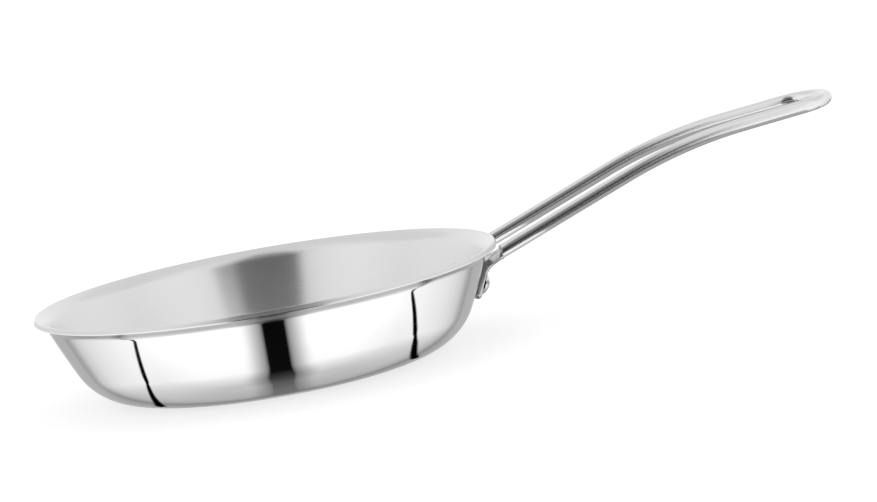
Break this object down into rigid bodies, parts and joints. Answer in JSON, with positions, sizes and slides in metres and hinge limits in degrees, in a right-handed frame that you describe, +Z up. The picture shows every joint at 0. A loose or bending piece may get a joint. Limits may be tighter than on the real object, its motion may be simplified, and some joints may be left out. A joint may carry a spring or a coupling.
{
  "type": "omelette pan",
  "caption": "Shallow flared stainless steel frying pan with a polished outside, a satin inside and a long looped rod handle held by rivets",
  "frame": {"origin": "the centre of the flat underside, where the pan stands", "axes": "+Z up, +X along the handle from the pan's axis, +Y to the left of the handle"},
  "size_m": [0.4375, 0.2398, 0.0881],
  "materials": {
    "satin_steel": "satin, brushed round the pan",
    "core_aluminium": "plain, seen only at the cut edge of the lip",
    "polished_steel": "mirror polished",
    "handle_steel": "polished",
    "rivet_steel": "polished"
  },
  "bodies": {
    "root": {"inner_ply": "satin_steel", "aluminium_core": "core_aluminium", "outer_ply": "polished_steel", "handle": "handle_steel", "rivet_right": "rivet_steel", "rivet_left": "rivet_steel"}
  },
  "joints": []
}
